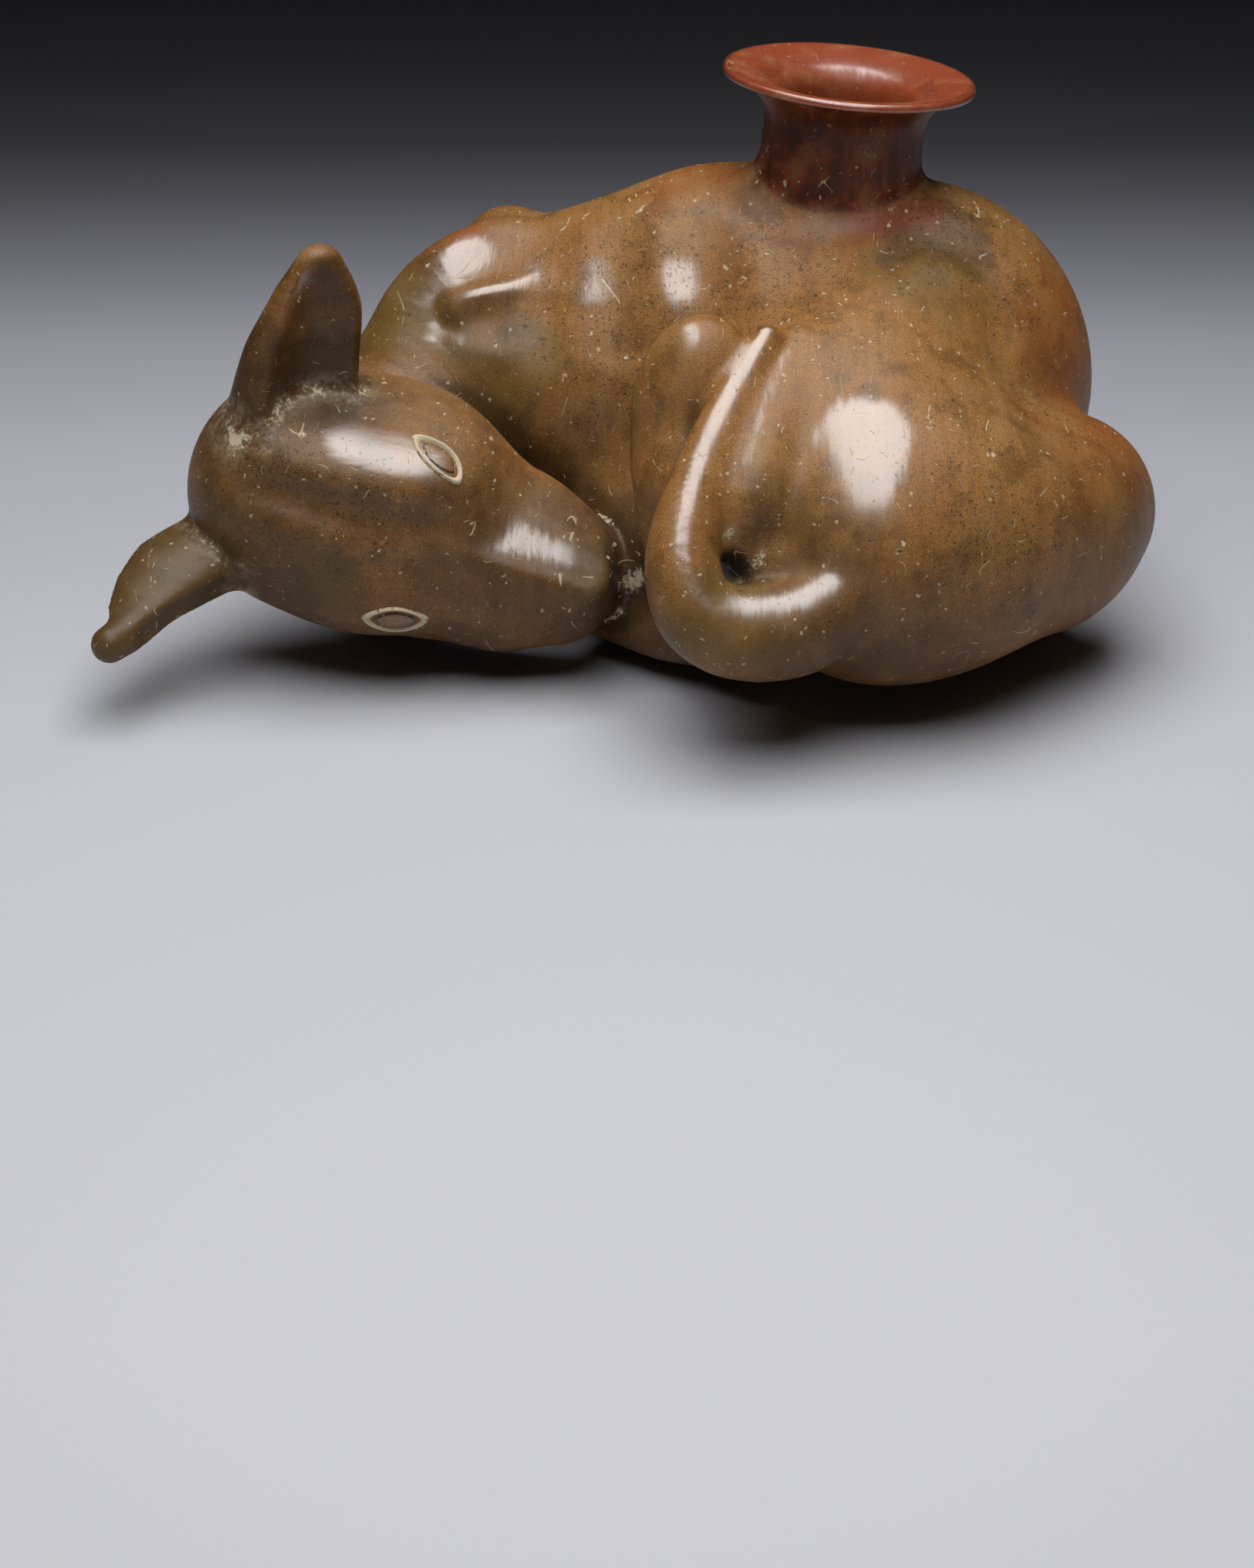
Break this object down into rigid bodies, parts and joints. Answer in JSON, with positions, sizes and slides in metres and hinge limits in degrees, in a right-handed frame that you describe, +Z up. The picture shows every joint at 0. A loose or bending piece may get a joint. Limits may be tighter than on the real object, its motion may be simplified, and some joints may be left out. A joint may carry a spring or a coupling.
{
  "type": "dog effigy vessel",
  "caption": "Hollow burnished clay vessel in the form of a dog curled up asleep, with a flared spout on its loin and its tail looped over the rump.",
  "frame": {"origin": "middle of the vessel's bounding box, on the surface it rests on", "axes": "+X from the right ear's tip to the right knee, +Y from the head and rump to the back of the curled body, +Z up"},
  "size_m": [0.3186, 0.205, 0.1717],
  "materials": {
    "tan_slip": "burnished",
    "umber_slip": "burnished",
    "olive_slip": "burnished",
    "red_slip": "burnished"
  },
  "bodies": {
    "root": {"rump_shell": "tan_slip", "chest_shell": "tan_slip", "muzzle": "tan_slip", "tail": "tan_slip", "right_thigh": "tan_slip", "left_hind_foot": "tan_slip", "right_hind_foot": "tan_slip", "left_shoulder": "tan_slip", "right_shoulder": "tan_slip", "left_foreleg": "tan_slip", "right_foreleg": "tan_slip", "base_dish": "umber_slip", "neck_shell": "umber_slip", "skull_shell": "umber_slip", "lower_jaw": "umber_slip", "left_ear": "umber_slip", "left_thigh": "umber_slip", "right_ear": "olive_slip", "left_eye": "olive_slip", "right_eye": "olive_slip", "spout_neck": "red_slip", "spout_rim": "red_slip"}
  },
  "joints": []
}
